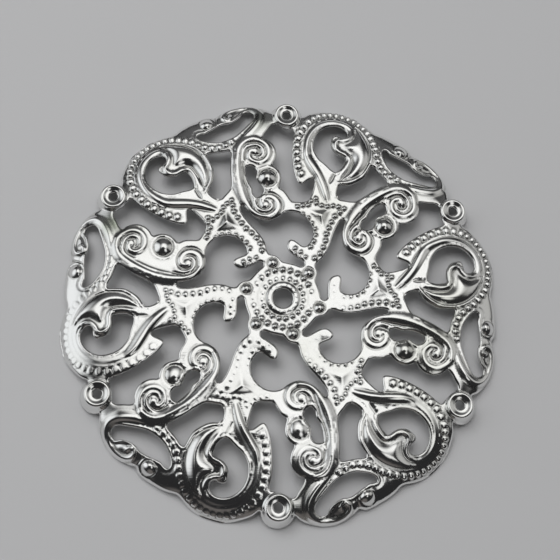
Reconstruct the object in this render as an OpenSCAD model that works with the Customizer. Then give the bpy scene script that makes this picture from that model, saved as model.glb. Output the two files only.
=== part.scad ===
// Round pierced filigree stamping: a thin pressed sheet with six repeats of a
// scroll-and-leaf pattern about a beaded hub. The field is flat and the outer
// border turns down, so the sheet rests on the low edge of its border.
// One solid. Millimetres, +Z up, origin on the resting plane under the centre hole.

/* [Sheet] */
// Width across the widest lobes of the border
across = 66.2; // [60:0.2:72]
// Thickness of the sheet
sheet_t = 0.5; // [0.4:0.05:0.8]
// Height of the top of the flat field over the resting plane
field_h = 3.1; // [2.9:0.1:3.5]
// Radius at which the field starts to bend down
knee_r = 28.8; // [28:0.1:29.4]
// Radius of the shoulder where the border turns steep
shoulder_r = 31.2; // [30.8:0.1:31.6]
// Drop of the shoulder under the field
shoulder_drop = 0.7; // [0.5:0.1:0.9]

/* [Hub] */
// Diameter of the centre hole
centre_hole_d = 2.9; // [2.0:0.1:3.4]
// Rise of the beaded hub plate over the field
hub_rise = 0.25; // [0.1:0.05:0.4]
// Rise of the lip round the centre hole over the field
hub_lip_rise = 0.35; // [0.2:0.05:0.5]
// Radius of the large bead on each knob of the hub
knob_bead_r = 0.6; // [0.4:0.05:0.8]

/* [Eyelets] */
// Diameter of each eyelet hole
eyelet_hole_d = 1.3; // [0.9:0.1:1.8]
// Rise of the lip round each eyelet hole over the field
eyelet_lip_rise = 0.2; // [0.1:0.05:0.4]
// Depth of each eyelet cup under the field
eyelet_cup_h = 1.3; // [1.1:0.1:1.5]

/* [Relief] */
// Rise of the scroll ridge over the field
ridge_rise = 0.5; // [0.2:0.05:0.8]
// Radius of the round boss between the two scrolls
boss_r = 1.15; // [0.9:0.05:1.3]
// Rise of the round boss over the field
boss_rise = 0.8; // [0.5:0.05:1.0]

/* [Hidden] */
repeats = 6;
turn = 30;                     // bearing of the first eyelet
blind_repeat = 2;              // the repeat whose scroll slot is not pierced
k = across / 66.2;             // the tables below are drawn at 66.2 across
steps = 2;                     // curve steps between two rows of a table

// ---- Edges of the openings in the first repeat, first eyelet on +X ----
// Columns of each table: x mm, y mm.
hub_side      = [[6.8, 2.15], [6.65, 1.4], [6.3, 0.8], [5.75, 0.2], [5.55, -0.8], [5.35, -1.8], [5.1, -2.6], [5.25, -3.05], [5.75, -3.1]];
thumb         = [[6.15, -2.7], [6.6, -1.9], [7.15, -1.05], [7.8, -0.55], [8.5, -0.5], [9.2, -0.85], [9.2, -1.45], [8.7, -2.2], [8.25, -2.9], [8.4, -3.45]];
bay           = [[9.3, -4.15], [10.5, -4.4], [11.8, -4.1], [12.9, -3.25], [13.55, -2.2], [13.75, -1.0], [13.5, 0.1], [12.8, 1.0]];
scroll_back   = [[12.25, 2.2], [12.3, 3.4], [12.85, 4.7], [13.7, 5.7], [14.4, 6.4]];
arm_back      = [[14.1, 6.75], [13.0, 6.3], [11.6, 5.2], [10.2, 3.9], [8.6, 2.85], [7.2, 2.45]];

link_side     = [[15.4, -2.0], [15.5, -1.1], [16.4, -0.45], [17.2, 0.15], [17.75, 0.9]];
boss_lobe     = [[18.5, 0.75], [19.4, 0.65], [20.3, 0.9], [21.0, 1.45], [21.5, 2.05]];
scroll_foot   = [[22.3, 1.7], [23.2, 1.5], [24.2, 1.65], [25.1, 2.2], [25.7, 2.95], [25.95, 3.6]];
eyelet_neck   = [[26.6, 3.5], [27.5, 2.95], [28.35, 2.45], [28.65, 2.0], [28.45, 1.4], [28.1, 0.75], [27.9, 0.0], [27.8, -0.7], [27.7, -1.15]];
leaf_top      = [[27.1, -1.25], [26.0, -1.05], [24.5, -0.95], [22.8, -1.0], [21.0, -1.2], [19.6, -1.55], [18.7, -1.95]];
beak          = [[18.4, -2.3], [18.55, -2.8], [19.0, -3.4], [19.4, -4.0], [19.3, -4.45]];
stem_top      = [[18.7, -4.5], [17.5, -4.25], [16.4, -3.95], [15.75, -3.6], [15.45, -3.0]];

comma_outer   = [[20.65, -7.75], [20.95, -7.1], [21.8, -6.2], [22.5, -5.35], [23.3, -4.8], [24.3, -4.4], [25.5, -4.35], [26.8, -4.7], [27.8, -5.4], [28.5, -6.4], [28.8, -7.5], [28.7, -8.5], [28.2, -9.3], [27.5, -9.65]];
comma_inner   = [[26.9, -9.5], [26.6, -9.0], [26.8, -8.4], [26.95, -7.8], [26.7, -7.3], [26.0, -7.1], [25.2, -7.05], [24.4, -7.4], [23.8, -8.0], [23.4, -8.8], [23.1, -9.3], [22.6, -9.2], [21.8, -8.9], [21.1, -8.4]];

heel_low      = [[15.25, 10.2], [15.35, 9.7], [15.9, 9.25], [16.6, 8.7], [17.3, 8.35], [18.5, 8.35], [20.0, 8.5], [22.0, 8.55], [23.2, 8.55]];
heel_high     = [[23.4, 8.9], [23.25, 9.7], [23.0, 10.8], [22.85, 12.0], [22.6, 12.3], [22.2, 12.15], [21.5, 11.7], [20.5, 11.15], [19.5, 11.0], [18.3, 11.05], [17.5, 11.3], [16.7, 11.7], [16.2, 11.6], [15.6, 11.0]];

slot_edge     = [[15.95, 4.3], [16.5, 4.9], [17.4, 5.1], [18.1, 5.6], [19.0, 5.95], [20.0, 6.15], [20.8, 6.15], [21.0, 5.6], [20.9, 5.0], [20.55, 4.65], [19.9, 4.4], [19.1, 4.5], [18.4, 4.1], [17.8, 3.55], [17.2, 3.3], [16.6, 3.45], [16.15, 3.8]];

kidney_inner  = [[25.1, 13.0], [24.9, 11.8], [24.9, 10.5], [25.3, 9.3], [26.0, 8.1], [27.2, 6.95], [28.6, 5.85], [29.5, 5.25]];
kidney_outer  = [[30.2, 5.2], [30.8, 5.7], [30.9, 6.4], [30.6, 6.95], [29.9, 7.25], [29.1, 8.0], [28.5, 9.0], [28.3, 10.1], [27.8, 10.9], [27.0, 11.9], [26.4, 12.8], [26.3, 13.4], [26.0, 13.9], [25.5, 13.75]];

// ---- Border of one repeat ----
// Columns: bearing deg, radius mm.
border_scroll = [[4.3, 31.0], [5.8, 31.7], [7.8, 32.3], [10.0, 32.8], [12.2, 33.05], [14.7, 33.1], [17.4, 32.8], [19.7, 32.3], [21.1, 31.95], [22.5, 32.4], [24.5, 32.5], [26.8, 32.4]];
border_leaf   = [[29.3, 32.3], [31.5, 32.1], [33.8, 31.8], [36.6, 32.4], [39.0, 32.9], [41.4, 33.1], [44.3, 33.1], [46.8, 33.0], [48.6, 32.7], [51.0, 32.1], [53.4, 31.4], [55.4, 30.5]];

// ---- Scroll ridge: a band along a spine ----
// Columns: x mm, y mm, half width mm.
ridge_spine   = [[13.0, 1.5, 0.35], [12.75, 2.9, 0.4], [13.3, 4.4, 0.45], [14.6, 5.7, 0.5], [16.4, 6.7, 0.55], [18.4, 7.35, 0.55], [20.6, 7.65, 0.55], [22.6, 7.6, 0.5], [24.3, 7.0, 0.5], [25.4, 5.9, 0.45], [25.5, 4.6, 0.4], [24.7, 3.3, 0.4], [23.4, 2.7, 0.35]];

eyelet_circle_r = 30 * k;      // radius of the circle through the eyelet holes
hub_r = 5.6 * k;               // radius of the hub plate
knob_at = k * [5.5, 1.5];      // centre of a knob of the hub
boss_at = k * [19.4, 2.7];     // centre of the round boss
scroll_at = k * [[14.6, 2.55], [23.4, 4.75]];   // centres of the two scroll eyes
scroll_r = 1.0 * k;            // radius of a scroll eye

// Point a part f of the way from p1 to p2 on a centripetal Catmull-Rom curve.
function gap(a, b) = pow(max(0.0001, norm([b[0] - a[0], b[1] - a[1]])), 0.5);
function cr(p0, p1, p2, p3, f) =
    let (t1 = gap(p0, p1), t2 = t1 + gap(p1, p2), t3 = t2 + gap(p2, p3), t = t1 + (t2 - t1) * f,
         a1 = (t1 - t) / t1 * p0 + t / t1 * p1,
         a2 = (t2 - t) / (t2 - t1) * p1 + (t - t1) / (t2 - t1) * p2,
         a3 = (t3 - t) / (t3 - t2) * p2 + (t - t2) / (t3 - t2) * p3,
         b1 = (t2 - t) / t2 * a1 + t / t2 * a2,
         b2 = (t3 - t) / (t3 - t1) * a2 + (t - t1) / (t3 - t1) * a3)
    (t2 - t) / (t2 - t1) * b1 + (t - t1) / (t2 - t1) * b2;
function loop(p) = let (n = len(p)) [for (i = [0:n - 1], j = [0:steps - 1])
    cr(p[(i + n - 1) % n], p[i], p[(i + 1) % n], p[(i + 2) % n], j / steps)];
function open_curve(p) = let (n = len(p)) concat([for (i = [0:n - 2], j = [0:steps - 1])
    cr(i > 0 ? p[i - 1] : 2 * p[0] - p[1], p[i], p[i + 1], i < n - 2 ? p[i + 2] : 2 * p[n - 1] - p[n - 2], j / steps)], [p[n - 1]]);
function polar(p) = [for (q = p) q[1] * [cos(q[0]), sin(q[0])]];
function spun(p, a) = [for (q = p) [q[0] + a, q[1]]];
function way(c, i) = let (a = c[max(0, i - 1)], b = c[min(len(c) - 1, i + 1)], d = [b[0] - a[0], b[1] - a[1]]) d / norm(d);
// Both sides of a band, as one loop.
function band(c) = concat(
    [for (i = [0:len(c) - 1]) let (d = way(c, i)) [c[i][0] - d[1] * c[i][2], c[i][1] + d[0] * c[i][2]]],
    [for (i = [len(c) - 1:-1:0]) let (d = way(c, i)) [c[i][0] + d[1] * c[i][2], c[i][1] - d[0] * c[i][2]]]);

border = loop(polar([for (n = [0:repeats - 1]) each spun(concat(border_scroll, border_leaf), 360 / repeats * n)]));
openings = [
    loop(concat(hub_side, thumb, bay, scroll_back, arm_back)),
    loop(concat(link_side, boss_lobe, scroll_foot, eyelet_neck, leaf_top, beak, stem_top)),
    loop(concat(comma_outer, comma_inner)),
    loop(concat(heel_low, heel_high)),
    loop(concat(kidney_inner, kidney_outer))];
slot = loop(slot_edge);

// The pierced blank in plan.
module blank() {
    difference() {
        polygon(k * border);
        for (n = [0:repeats - 1]) rotate(360 / repeats * n) {
            for (o = openings) polygon(k * o);
            if (n != blind_repeat) polygon(k * slot);
        }
    }
}

// Half section of the formed sheet. Columns: radius mm, height mm.
rim_top = 0.65;                // top of the sheet at the widest lobes
rim_r = 33.1 * k;
fall = (field_h - shoulder_drop - rim_top) / (rim_r - shoulder_r * k);
sheet_section = [
    [0, field_h],
    [knee_r * k, field_h],
    [shoulder_r * k, field_h - shoulder_drop],
    [rim_r + 0.5, rim_top - fall * 0.5],
    [rim_r + 0.5, 0],
    [rim_r - 0.15, 0],
    [(shoulder_r - 0.3) * k, field_h - shoulder_drop - sheet_t],
    [(knee_r - 0.1) * k, field_h - sheet_t],
    [0, field_h - sheet_t]];

// Half section of the hub plate with its lip. Columns: radius mm, height mm.
hub_section = [
    [0, field_h - sheet_t],
    [0, field_h + hub_lip_rise],
    [1.9 * k, field_h + hub_lip_rise],
    [2.2 * k, field_h + 0.05],
    [2.5 * k, field_h + 0.05],
    [2.8 * k, field_h + hub_rise],
    [4.9 * k, field_h + hub_rise],
    [5.45 * k, field_h],
    [5.45 * k, field_h - sheet_t]];

// Half section of an eyelet cup. Columns: radius mm, height mm.
eyelet_section = [
    [0, field_h - 0.6],
    [0, field_h + eyelet_lip_rise],
    [1.0, field_h + eyelet_lip_rise],
    [1.2, field_h + 0.02],
    [1.5, field_h + 0.02],
    [1.7, field_h + 0.1],
    [2.1, field_h + 0.1],
    [2.25, field_h - 0.02],
    [2.25, field_h - eyelet_cup_h],
    [1.75, field_h - eyelet_cup_h],
    [1.75, field_h - 0.6]];

module sheet() {
    intersection() {
        linear_extrude(height = field_h + 1) blank();
        rotate_extrude($fn = 180) polygon(sheet_section);
    }
}

// Part of a ball that stands out of the field by rise and is r wide at its foot.
module dome(r, rise, foot) {
    ball = (r * r + rise * rise) / (2 * rise);
    translate([0, 0, foot + rise - ball]) intersection() {
        sphere(r = ball, $fn = 48);
        translate([0, 0, ball - rise - 0.15]) cylinder(r = r + 0.3, h = rise + 1, $fn = 48);
    }
}

module repeat_relief() {
    translate([0, 0, field_h - 0.2]) linear_extrude(height = 0.2 + ridge_rise) polygon(k * band(open_curve(ridge_spine)));
    translate([boss_at[0], boss_at[1], 0]) dome(boss_r * k, boss_rise, field_h);
    for (c = scroll_at) translate([c[0], c[1], 0]) dome(scroll_r, 0.5, field_h);
    translate([knob_at[0], knob_at[1], 0]) dome(knob_bead_r, 0.5, field_h);
}

module filigree_stamping() {
    color("silver") rotate(turn) difference() {
        union() {
            sheet();
            rotate_extrude($fn = 96) polygon(hub_section);
            for (n = [0:repeats - 1]) rotate(360 / repeats * n) {
                repeat_relief();
                translate([eyelet_circle_r, 0, 0]) rotate_extrude($fn = 64) polygon(eyelet_section);
            }
        }
        translate([0, 0, -1]) cylinder(h = field_h + 4, d = centre_hole_d, $fn = 64);
        for (n = [0:repeats - 1]) rotate(360 / repeats * n)
            translate([eyelet_circle_r, 0, -1]) cylinder(h = field_h + 4, d = eyelet_hole_d, $fn = 48);
    }
}

filigree_stamping();
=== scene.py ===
import math

import bpy
import numpy as np
from mathutils import Matrix, Vector
from mathutils.geometry import delaunay_2d_cdt
from mathutils.kdtree import KDTree


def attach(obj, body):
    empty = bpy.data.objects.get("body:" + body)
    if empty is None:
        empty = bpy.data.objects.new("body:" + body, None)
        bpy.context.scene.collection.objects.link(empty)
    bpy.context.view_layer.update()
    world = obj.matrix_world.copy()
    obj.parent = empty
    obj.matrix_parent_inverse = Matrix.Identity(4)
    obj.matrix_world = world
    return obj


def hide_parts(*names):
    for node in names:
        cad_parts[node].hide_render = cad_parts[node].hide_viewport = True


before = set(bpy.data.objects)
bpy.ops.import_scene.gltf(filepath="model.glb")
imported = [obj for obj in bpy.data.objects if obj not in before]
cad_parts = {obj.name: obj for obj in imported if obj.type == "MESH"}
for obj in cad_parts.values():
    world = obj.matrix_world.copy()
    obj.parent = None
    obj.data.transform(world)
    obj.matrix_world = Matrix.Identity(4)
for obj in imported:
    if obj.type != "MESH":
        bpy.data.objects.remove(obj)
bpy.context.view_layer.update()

# ------------------------------------------------------------------ sizes, mm
REPEATS = 6          # times the pattern goes round
TURN = 30.0          # bearing of the first eyelet
BLIND = 2            # the repeat whose upper slot was pressed but not pierced
FIELD = 3.1          # top of the flat field over the resting plane
SHEET = 0.5          # thickness of the sheet
HOLE_R = 1.45        # centre hole
EYE_AT = 30.0        # centre of an eyelet from the middle
EYE_R = 0.65         # hole of an eyelet
EYE_OUT = 2.45       # outside of an eyelet's cup

# ---- edges of the openings of the first repeat, its eyelet on +X: x, y ----
HUB_SIDE = [(6.8, 2.15), (6.65, 1.4), (6.3, 0.8), (5.75, 0.2), (5.55, -0.8), (5.35, -1.8), (5.1, -2.6), (5.25, -3.05), (5.75, -3.1)]
THUMB = [(6.15, -2.7), (6.6, -1.9), (7.15, -1.05), (7.8, -0.55), (8.5, -0.5), (9.2, -0.85), (9.2, -1.45), (8.7, -2.2), (8.25, -2.9), (8.4, -3.45)]
BAY = [(9.3, -4.15), (10.5, -4.4), (11.8, -4.1), (12.9, -3.25), (13.55, -2.2), (13.75, -1.0), (13.5, 0.1), (12.8, 1.0)]
SCROLL_BACK = [(12.25, 2.2), (12.3, 3.4), (12.85, 4.7), (13.7, 5.7), (14.4, 6.4)]
ARM_BACK = [(14.1, 6.75), (13.0, 6.3), (11.6, 5.2), (10.2, 3.9), (8.6, 2.85), (7.2, 2.45)]
LINK_SIDE = [(15.4, -2.0), (15.5, -1.1), (16.4, -0.45), (17.2, 0.15), (17.75, 0.9)]
BOSS_LOBE = [(18.5, 0.75), (19.4, 0.65), (20.3, 0.9), (21.0, 1.45), (21.5, 2.05)]
SCROLL_FOOT = [(22.3, 1.7), (23.2, 1.5), (24.2, 1.65), (25.1, 2.2), (25.7, 2.95), (25.95, 3.6)]
EYELET_NECK = [(26.6, 3.5), (27.5, 2.95), (28.35, 2.45), (28.65, 2.0), (28.45, 1.4), (28.1, 0.75), (27.9, 0.0), (27.8, -0.7), (27.7, -1.15)]
LEAF_TOP = [(27.1, -1.25), (26.0, -1.05), (24.5, -0.95), (22.8, -1.0), (21.0, -1.2), (19.6, -1.55), (18.7, -1.95)]
BEAK = [(18.4, -2.3), (18.55, -2.8), (19.0, -3.4), (19.4, -4.0), (19.3, -4.45)]
STEM_TOP = [(18.7, -4.5), (17.5, -4.25), (16.4, -3.95), (15.75, -3.6), (15.45, -3.0)]
COMMA_OUTER = [(20.65, -7.75), (20.95, -7.1), (21.8, -6.2), (22.5, -5.35), (23.3, -4.8), (24.3, -4.4), (25.5, -4.35), (26.8, -4.7), (27.8, -5.4), (28.5, -6.4), (28.8, -7.5), (28.7, -8.5), (28.2, -9.3), (27.5, -9.65)]
COMMA_INNER = [(26.9, -9.5), (26.6, -9.0), (26.8, -8.4), (26.95, -7.8), (26.7, -7.3), (26.0, -7.1), (25.2, -7.05), (24.4, -7.4), (23.8, -8.0), (23.4, -8.8), (23.1, -9.3), (22.6, -9.2), (21.8, -8.9), (21.1, -8.4)]
HEEL_LOW = [(15.25, 10.2), (15.35, 9.7), (15.9, 9.25), (16.6, 8.7), (17.3, 8.35), (18.5, 8.35), (20.0, 8.5), (22.0, 8.55), (23.2, 8.55)]
HEEL_HIGH = [(23.4, 8.9), (23.25, 9.7), (23.0, 10.8), (22.85, 12.0), (22.6, 12.3), (22.2, 12.15), (21.5, 11.7), (20.5, 11.15), (19.5, 11.0), (18.3, 11.05), (17.5, 11.3), (16.7, 11.7), (16.2, 11.6), (15.6, 11.0)]
SLOT_EDGE = [(15.95, 4.3), (16.5, 4.9), (17.4, 5.1), (18.1, 5.6), (19.0, 5.95), (20.0, 6.15), (20.8, 6.15), (21.0, 5.6), (20.9, 5.0), (20.55, 4.65), (19.9, 4.4), (19.1, 4.5), (18.4, 4.1), (17.8, 3.55), (17.2, 3.3), (16.6, 3.45), (16.15, 3.8)]
KIDNEY_INNER = [(25.1, 13.0), (24.9, 11.8), (24.9, 10.5), (25.3, 9.3), (26.0, 8.1), (27.2, 6.95), (28.6, 5.85), (29.5, 5.25)]
KIDNEY_OUTER = [(30.2, 5.2), (30.8, 5.7), (30.9, 6.4), (30.6, 6.95), (29.9, 7.25), (29.1, 8.0), (28.5, 9.0), (28.3, 10.1), (27.8, 10.9), (27.0, 11.9), (26.4, 12.8), (26.3, 13.4), (26.0, 13.9), (25.5, 13.75)]
OPENINGS = {
    "hub_gap": HUB_SIDE + THUMB + BAY + SCROLL_BACK + ARM_BACK,
    "lens_gap": LINK_SIDE + BOSS_LOBE + SCROLL_FOOT + EYELET_NECK + LEAF_TOP + BEAK + STEM_TOP,
    "comma": COMMA_OUTER + COMMA_INNER,
    "heel_gap": HEEL_LOW + HEEL_HIGH,
    "slot": SLOT_EDGE,
    "kidney": KIDNEY_INNER + KIDNEY_OUTER,
}
# ---- border of one repeat: bearing in degrees, radius ----
BORDER_SCROLL = [(4.3, 31.0), (5.8, 31.7), (7.8, 32.3), (10.0, 32.8), (12.2, 33.05), (14.7, 33.1), (17.4, 32.8), (19.7, 32.3), (21.1, 31.95), (22.5, 32.4), (24.5, 32.5), (26.8, 32.4)]
BORDER_LEAF = [(29.3, 32.3), (31.5, 32.1), (33.8, 31.8), (36.6, 32.4), (39.0, 32.9), (41.4, 33.1), (44.3, 33.1), (46.8, 33.0), (48.6, 32.7), (51.0, 32.1), (53.4, 31.4), (55.4, 30.5)]
# ---- how the sheet falls towards its border: radius, depth under the field ----
FALL = [(20.0, 0.0), (22.0, 0.01), (24.0, 0.05), (26.0, 0.17), (27.2, 0.29), (28.2, 0.43), (29.0, 0.58), (30.0, 0.85), (31.0, 1.22), (32.0, 1.78), (32.6, 2.24), (33.2, 2.8), (34.0, 3.7)]
# ---- along the edges of the openings: lip in, half width, rise; groove in, half width, depth ----
LIPS = {
    "hub_gap": (0.26, 0.22, 0.015, 0.6, 0.2, 0.0),
    "lens_gap": (0.26, 0.22, 0.02, 0.6, 0.2, 0.0),
    "comma": (0.22, 0.22, 0.07, 0.5, 0.2, 0.04),
    "heel_gap": (0.28, 0.26, 0.07, 0.6, 0.2, 0.04),
    "slot": (0.3, 0.28, 0.1, 0.62, 0.2, 0.05),
    "kidney": (0.2, 0.22, 0.06, 0.62, 0.28, 0.08),
    "border": (0.3, 0.28, 0.02, 0.6, 0.2, 0.0),
}

# ---- ridges: x, y, half width on the right, half width on the left, rise ----
RIDGES = {
    "scroll": [(12.72, 2.6, 0.5, 0.4, 0.24), (12.9, 3.8, 0.6, 0.5, 0.26), (13.55, 4.85, 0.7, 0.75, 0.29), (14.9, 5.75, 0.8, 1.05, 0.32), (16.6, 6.5, 0.9, 1.3, 0.34), (18.6, 7.08, 0.95, 1.35, 0.35), (20.7, 7.38, 0.95, 1.3, 0.35), (22.6, 7.38, 0.85, 1.2, 0.34), (24.2, 6.98, 0.75, 1.1, 0.32), (25.25, 6.15, 0.65, 0.9, 0.29), (25.72, 5.2, 0.55, 0.6, 0.26)],
    "rim_roll": [(25.75, 6.9, 0.35, 0.3, 0.06), (26.5, 5.95, 0.7, 0.55, 0.22), (27.7, 5.0, 0.85, 0.65, 0.3), (29.1, 4.35, 0.9, 0.7, 0.34), (30.4, 4.3, 0.8, 0.7, 0.36), (31.3, 4.95, 0.7, 0.65, 0.37), (31.75, 6.1, 0.62, 0.62, 0.38), (31.8, 7.4, 0.6, 0.62, 0.38), (31.5, 8.65, 0.58, 0.6, 0.37), (30.85, 9.65, 0.52, 0.55, 0.35), (29.95, 10.15, 0.45, 0.5, 0.32), (29.2, 9.85, 0.4, 0.42, 0.3), (29.1, 9.2, 0.38, 0.38, 0.28), (29.55, 8.85, 0.36, 0.36, 0.26), (29.95, 9.0, 0.3, 0.3, 0.16)],
    "rim_lip": [(28.55, 9.3, 0.2, 0.2, 0.04), (28.95, 8.3, 0.28, 0.28, 0.1), (29.7, 7.45, 0.3, 0.3, 0.12), (30.5, 7.1, 0.25, 0.25, 0.06)],
    "stem": [(15.7, -6.45, 0.35, 0.3, 0.06), (16.8, -6.15, 0.7, 0.42, 0.2), (18.2, -5.7, 0.95, 0.5, 0.28), (19.6, -5.05, 1.05, 0.55, 0.33), (21.0, -4.2, 1.1, 0.58, 0.35), (22.3, -3.45, 0.95, 0.55, 0.3), (23.4, -3.15, 0.7, 0.5, 0.18), (24.3, -3.15, 0.5, 0.45, 0.04)],
    "stem_round": [(22.3, -3.45, 0.6, 0.45, 0.1), (23.4, -3.15, 0.75, 0.58, 0.26), (24.8, -3.2, 0.65, 0.6, 0.26), (26.3, -3.5, 0.62, 0.6, 0.25), (27.8, -4.35, 0.62, 0.6, 0.25), (28.9, -5.55, 0.62, 0.6, 0.25), (29.45, -7.0, 0.62, 0.6, 0.25), (29.4, -8.5, 0.6, 0.6, 0.25), (28.9, -9.75, 0.55, 0.55, 0.2), (28.1, -10.6, 0.4, 0.4, 0.08)],
    "leaf_rim": [(18.75, -8.0, 0.3, 0.3, 0.12), (19.0, -9.4, 0.34, 0.34, 0.2), (19.6, -10.85, 0.36, 0.36, 0.22), (20.75, -12.15, 0.36, 0.36, 0.22), (22.2, -13.0, 0.34, 0.34, 0.2), (23.9, -13.4, 0.32, 0.32, 0.16), (25.7, -13.2, 0.3, 0.3, 0.14), (27.3, -12.5, 0.3, 0.3, 0.14), (28.7, -11.5, 0.3, 0.3, 0.14), (29.75, -10.1, 0.28, 0.28, 0.14), (30.25, -8.5, 0.26, 0.26, 0.14), (30.25, -7.0, 0.26, 0.26, 0.14), (29.8, -5.5, 0.26, 0.26, 0.14), (28.9, -4.2, 0.26, 0.26, 0.14), (27.5, -3.1, 0.26, 0.26, 0.14), (25.8, -2.55, 0.26, 0.26, 0.14), (24.0, -2.45, 0.26, 0.26, 0.14), (22.6, -2.6, 0.2, 0.2, 0.08)],
    "volute_left": [(12.78, 3, 0.52, 0.43, 0.198), (12.98, 2.1, 0.52, 0.45, 0.198), (13.5, 1.42, 0.52, 0.48, 0.198), (14.25, 1.06, 0.52, 0.48, 0.198), (15.05, 1.12, 0.52, 0.48, 0.198), (15.7, 1.58, 0.5, 0.45, 0.198), (16.02, 2.25, 0.48, 0.43, 0.191), (15.98, 2.95, 0.43, 0.41, 0.185), (15.62, 3.4, 0.41, 0.37, 0.185), (15.17, 3.4, 0.39, 0.35, 0.198), (14.88, 3.1, 0.39, 0.37, 0.211)],
    "volute_left_inner": [(16, 4.75, 0.22, 0.22, 0.04), (15.3, 4.7, 0.26, 0.26, 0.106), (14.5, 4.46, 0.29, 0.28, 0.145), (13.95, 4, 0.29, 0.29, 0.165), (13.67, 3.3, 0.29, 0.29, 0.165), (13.78, 2.6, 0.29, 0.29, 0.158), (14.2, 2.08, 0.29, 0.29, 0.152), (14.8, 1.98, 0.27, 0.27, 0.139), (15.28, 2.3, 0.24, 0.24, 0.119), (15.48, 2.8, 0.22, 0.22, 0.079)],
    "volute_right": [(25.7, 5.5, 0.54, 0.45, 0.211), (25.5, 4.45, 0.54, 0.48, 0.211), (24.98, 3.5, 0.54, 0.5, 0.211), (24.2, 2.88, 0.54, 0.5, 0.211), (23.3, 2.74, 0.54, 0.5, 0.211), (22.42, 3.06, 0.52, 0.48, 0.205), (21.85, 3.75, 0.5, 0.48, 0.198), (21.74, 4.55, 0.48, 0.45, 0.198), (22.05, 5.28, 0.45, 0.43, 0.191), (22.7, 5.72, 0.43, 0.39, 0.191), (23.35, 5.68, 0.41, 0.37, 0.198), (23.68, 5.25, 0.41, 0.39, 0.218)],
    "volute_right_inner": [(21.5, 6.45, 0.22, 0.22, 0.053), (22.4, 6.76, 0.28, 0.28, 0.132), (23.4, 6.7, 0.3, 0.3, 0.158), (24.15, 6.22, 0.3, 0.3, 0.172), (24.56, 5.45, 0.3, 0.3, 0.172), (24.6, 4.62, 0.3, 0.3, 0.172), (24.32, 3.94, 0.3, 0.3, 0.165), (23.72, 3.54, 0.29, 0.29, 0.158), (23.03, 3.55, 0.28, 0.28, 0.145), (22.55, 3.92, 0.26, 0.26, 0.132), (22.42, 4.45, 0.24, 0.24, 0.119), (22.6, 4.98, 0.22, 0.22, 0.092)],
    "wave": [(19.9, -8.25, 0.3, 0.3, 0.08), (20.9, -9.0, 0.4, 0.4, 0.2), (21.9, -9.6, 0.45, 0.42, 0.24), (22.95, -9.85, 0.48, 0.42, 0.26), (23.65, -9.25, 0.48, 0.42, 0.27), (24.1, -8.3, 0.5, 0.42, 0.28), (24.75, -7.75, 0.5, 0.42, 0.3), (25.6, -7.7, 0.5, 0.42, 0.3), (26.1, -8.2, 0.45, 0.4, 0.28), (26.15, -9.0, 0.45, 0.42, 0.27), (26.5, -9.8, 0.45, 0.42, 0.25), (27.3, -10.25, 0.42, 0.42, 0.2), (28.3, -10.2, 0.3, 0.3, 0.08)],
}
# ---- forms that swell from their own outline: rise, width of the slope, outline x, y ----
SWELLS = {
    "leaf": (0.42, 1.35, [(19.35, -8.85), (20.3, -9.65), (21.6, -10.35), (22.9, -10.7), (23.8, -10.45), (24.6, -9.5), (25.2, -9.2), (25.7, -9.9), (26.5, -10.75), (27.6, -11.0), (28.7, -10.6), (28.9, -10.9), (27.6, -12.0), (25.8, -12.75), (24.0, -13.0), (22.2, -12.6), (20.7, -11.65), (19.7, -10.4)]),
}
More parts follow.
